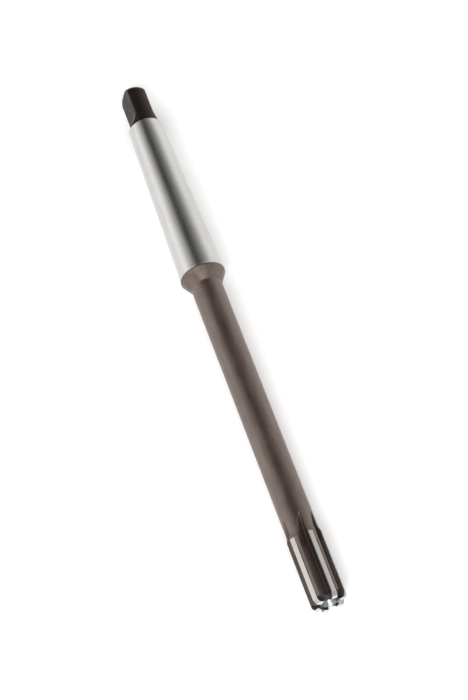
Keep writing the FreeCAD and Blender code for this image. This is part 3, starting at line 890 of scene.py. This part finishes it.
def land_steel():
    """Steel lands behind the tips, ground bright with the carbide."""
    m = Mat("ground_land_steel")
    lines = m.noise(m.scaled(9.0, 1.2, 1.2), 1.0, 4.0, 0.6)
    cloud = m.noise(m.scaled(0.4, 0.6, 0.6), 1.0, 3.0, 0.5)
    color = m.ramp(lines, [(0.3, (0.42, 0.40, 0.385)), (0.5, (0.47, 0.45, 0.435)), (0.7, (0.52, 0.50, 0.485))])
    rough = m.span(cloud, 0.3, 0.7, 0.24, 0.34)
    return m.finish(color, rough, m.bump(lines, 0.12, 0.00002))


def dark_steel(name, base, rough_range, metallic=0.9, ring=False):
    m = Mat(name)
    marks = m.noise(m.scaled(*((9.0, 0.8, 0.8) if ring else (2.5, 3.5, 3.5))), 1.0, 4.0, 0.6)
    cloud = m.noise(m.scaled(0.8, 0.8, 0.8, (4.0, 4.0, 9.0)), 1.0, 3.0, 0.5)
    tone = m.math("ADD", m.math("MULTIPLY", marks, 0.5), m.math("MULTIPLY", cloud, 0.5))
    lo, hi = tuple(c * 0.75 for c in base), tuple(c * 1.35 for c in base)
    color = m.ramp(tone, [(0.3, lo), (0.5, base), (0.72, hi)])
    rough = m.span(marks, 0.3, 0.7, *rough_range)
    return m.finish(color, rough, m.bump(marks, 0.15, 0.00002), metallic=metallic)


def carbide(name, base, rough_range, lines_scale=(9.0, 1.2, 1.2)):
    """Ground cemented carbide: fine wheel lines, slightly warm grey."""
    m = Mat(name)
    lines = m.noise(m.scaled(*lines_scale), 1.0, 4.0, 0.65)
    grain = m.noise(m.scaled(22.0, 22.0, 22.0), 1.0, 2.0, 0.5)
    tone = m.math("ADD", m.math("MULTIPLY", lines, 0.7), m.math("MULTIPLY", grain, 0.3))
    lo, hi = tuple(c * 0.88 for c in base), tuple(min(c * 1.1, 1.0) for c in base)
    color = m.ramp(tone, [(0.3, lo), (0.5, base), (0.72, hi)])
    rough = m.span(tone, 0.3, 0.7, *rough_range)
    n1 = m.bump(lines, 0.10, 0.00002)
    n2 = m.bump(grain, 0.06, 0.00001, n1)
    return m.finish(color, rough, n2)


mat_oxide = black_oxide("tang_black_oxide")
mat_tangflat = black_oxide("tang_flat_milled", True)
mat_ground = ground_shank()
mat_brown = temper_brown("neck_temper_brown")
# the flute's temper brown is scaled darker (0.85) than the backing's: painted shade of the flute hollow, over the
# real temper colour
mat_flute = temper_brown("flute_temper_brown_painted_shade", 0.85, along=True)
mat_backing = temper_brown("backing_temper_brown", 1.0, along=True)
mat_lands = land_steel()
mat_front = dark_steel("front_cone_black", (0.020, 0.017, 0.016), (0.28, 0.42), 0.7)
mat_centre = dark_steel("centre_hole_steel", (0.22, 0.235, 0.245), (0.22, 0.36), 1.0, ring=True)
mat_seat = dark_steel("seat_braze_dark", (0.05, 0.042, 0.036), (0.4, 0.55), 0.8)
# near-black braze: dark oxidised braze, darkened further as painted shade of the seam behind each tip
mat_braze = dark_steel("dark_braze_and_painted_shade", (0.055, 0.045, 0.038), (0.35, 0.5), 0.9)
mat_rake = carbide("carbide_rake", (0.36, 0.355, 0.35), (0.20, 0.30), (7.0, 0.9, 0.9))
mat_tipland = carbide("carbide_land", (0.50, 0.485, 0.47), (0.24, 0.34))
# the lead's carbide is set darker than the land's: painted shade on the lead
mat_lead = carbide("carbide_lead_painted_shade", (0.40, 0.385, 0.37), (0.22, 0.32))
mat_end = carbide("carbide_end", (0.60, 0.60, 0.58), (0.22, 0.34), (3.0, 6.0, 6.0))
mat_margin = carbide("carbide_margin", (0.55, 0.54, 0.53), (0.20, 0.28))
mat_cone = temper_brown("collar_cone_brown", 0.9)
mat_ramp = temper_brown("head_ramp_brown", 0.8)
mat_gash = dark_steel("gash_ground", (0.16, 0.165, 0.18), (0.26, 0.38), 0.95)

body_materials = [mat_oxide, mat_ground, mat_brown, mat_lands, mat_flute, mat_front, mat_centre, mat_seat,
                  mat_backing, mat_tangflat, mat_cone, mat_gash, mat_ramp]
body = body_mesh(body_materials)
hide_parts("reamer_body")
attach(body, "root")

for number, degrees in enumerate([EDGES[0], EDGES[1], EDGES[2], EDGES[3], EDGES[4], EDGES[5]], start=1):
    tip = tip_mesh(number, degrees, [mat_rake, mat_tipland, mat_lead, mat_end, mat_seat, mat_margin])
    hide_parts("carbide_tip_%d" % number)
    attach(tip, "root")

braze = braze_mesh([mat_braze])
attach(braze, "root")


# ------------------------------------------------------------------ floor
def make_floor():
    n = 48
    verts, faces = [], []
    for i in range(n + 1):
        for j in range(n + 1):
            verts.append(((i / n - 0.5) * 5.0, (j / n - 0.5) * 5.0, 0.0))
    for i in range(n):
        for j in range(n):
            a = i * (n + 1) + j
            faces.append((a, a + n + 1, a + n + 2, a + 1))
    mesh = bpy.data.meshes.new("studio_floor")
    mesh.from_pydata(verts, [], faces)
    mesh.update()
    ob = bpy.data.objects.new("studio_floor", mesh)
    bpy.context.scene.collection.objects.link(ob)
    mat = bpy.data.materials.new("studio_paper")
    mat.use_nodes = True
    b = mat.node_tree.nodes["Principled BSDF"]
    b.inputs["Base Color"].default_value = (0.90, 0.90, 0.90, 1.0)
    b.inputs["Roughness"].default_value = 0.95
    b.inputs["Specular IOR Level"].default_value = 0.0
    b.inputs["Emission Color"].default_value = (1.0, 1.0, 1.0, 1.0)
    b.inputs["Emission Strength"].default_value = 0.16
    mesh.materials.append(mat)
    return ob


floor = make_floor()

# ------------------------------------------------------------------ camera
lean = math.radians(87.2)
cam_n = (A @ Vector((0.0, math.cos(lean), math.sin(lean)))).normalized()
cam_r = (A @ Vector((0.0, math.cos(lean - math.pi / 2), math.sin(lean - math.pi / 2)))).normalized()
tau = math.radians(31.2)
look = -math.sin(tau) * axis_a - math.cos(tau) * cam_n
down = math.cos(tau) * axis_a - math.sin(tau) * cam_n
right = 0.93168822 * cam_r + 0.36325893 * down
below = -0.36325893 * cam_r + 0.93168822 * down
centre = T + axis_a * 90.9
place = (centre - 532.7 * look + 0.696 * right + 0.030 * below) / 1000.0
cam_data = bpy.data.cameras.new("studio_camera")
cam_data.lens = 105.0
cam_data.sensor_width = 36.0
cam_data.sensor_fit = "AUTO"
cam_data.clip_start = 0.01
cam_data.clip_end = 20.0
cam = bpy.data.objects.new("studio_camera", cam_data)
bpy.context.scene.collection.objects.link(cam)
rot = Matrix((right, -below, -look)).transposed()
cam.matrix_world = Matrix.Translation(place) @ rot.to_4x4()
bpy.context.scene.camera = cam

# ------------------------------------------------------------------ light
# A white tent: bright low sides, a dark gap overhead behind the tool, and soft
# light from the front that whitens the paper.
w = bpy.data.worlds.new("studio_tent")
bpy.context.scene.world = w
w.use_nodes = True
nt = w.node_tree
nt.nodes.clear()
out = nt.nodes.new("ShaderNodeOutputWorld")
bg = nt.nodes.new("ShaderNodeBackground")
nt.links.new(bg.outputs[0], out.inputs[0])
tc = nt.nodes.new("ShaderNodeTexCoord")


def wdot(vec):
    n = nt.nodes.new("ShaderNodeVectorMath")
    n.operation = "DOT_PRODUCT"
    nt.links.new(tc.outputs["Generated"], n.inputs[0])
    n.inputs[1].default_value = vec
    return n.outputs["Value"]


def wmath(op, a, b=None, c=None, clamp=False):
    n = nt.nodes.new("ShaderNodeMath")
    n.operation = op
    n.use_clamp = clamp
    for value, socket in zip((a, b, c), n.inputs):
        if value is None:
            continue
        if hasattr(value, "is_output"):
            nt.links.new(value, socket)
        else:
            socket.default_value = value
    return n.outputs[0]


dn, dr, da = wdot(cam_n), wdot(cam_r), wdot(axis_a)
around = wmath("ARCTAN2", dr, dn)          # 0 overhead, plus to the right
turned = wmath("MULTIPLY_ADD", around, 0.5 / math.pi, 0.5)
ramp = nt.nodes.new("ShaderNodeValToRGB")
ramp.color_ramp.interpolation = "EASE"
TENT = [(-180, 0.70), (-128, 0.75), (-106, 1.05), (-88, 1.35), (-74, 1.50), (-60, 1.35), (-46, 0.95),
        (-34, 0.68), (-22, 0.42), (-11, 0.16), (-2, 0.05), (5, 0.05), (12, 0.10), (22, 0.17), (34, 0.29),
        (46, 0.45), (60, 0.78), (74, 1.12), (88, 1.38), (104, 1.30), (128, 0.85), (180, 0.70)]
els = ramp.color_ramp.elements
while len(els) > 1:
    els.remove(els[-1])
for k, (angle, value) in enumerate(TENT):
    pos = angle / 360.0 + 0.5
    e = els[0] if k == 0 else els.new(pos)
    e.position = pos
    v = value / 2.0
    e.color = (v, v, v * 1.0, 1.0)
nt.links.new(turned, ramp.inputs[0])
tent = nt.nodes.new("ShaderNodeRGBToBW")
nt.links.new(ramp.outputs[0], tent.inputs[0])
# towards the cutting end the tent is evenly bright
frontness = nt.nodes.new("ShaderNodeMapRange")
frontness.interpolation_type = "SMOOTHSTEP"
frontness.inputs["From Min"].default_value = 0.42
frontness.inputs["From Max"].default_value = 0.75
nt.links.new(da, frontness.inputs["Value"])
mixed = nt.nodes.new("ShaderNodeMix")
mixed.data_type = "FLOAT"
nt.links.new(frontness.outputs[0], mixed.inputs[0])
nt.links.new(tent.outputs[0], mixed.inputs[2])
mixed.inputs[3].default_value = 0.95
nt.links.new(wmath("MULTIPLY", mixed.outputs[0], 2.0), bg.inputs["Strength"])
bg.inputs["Color"].default_value = (1.0, 0.995, 0.985, 1.0)

# one soft box in front, above the cutting end, to lift the paper to white
box_light = bpy.data.lights.new("front_softbox", "AREA")
box_light.shape = "RECTANGLE"
box_light.size = 1.1
box_light.size_y = 0.7
box_light.energy = 19.0
lamp = bpy.data.objects.new("front_softbox", box_light)
bpy.context.scene.collection.objects.link(lamp)
lamp_at = Vector((1.1, 0.0, 1.1))
lamp.matrix_world = Matrix.Translation(lamp_at) @ (Vector((0, 0, 0)) - lamp_at).to_track_quat("-Z", "Y").to_matrix().to_4x4()

bpy.context.scene.view_settings.view_transform = "Standard"
bpy.context.scene.view_settings.look = "None"
bpy.context.scene.view_settings.exposure = 0.0
bpy.context.scene.view_settings.gamma = 1.0
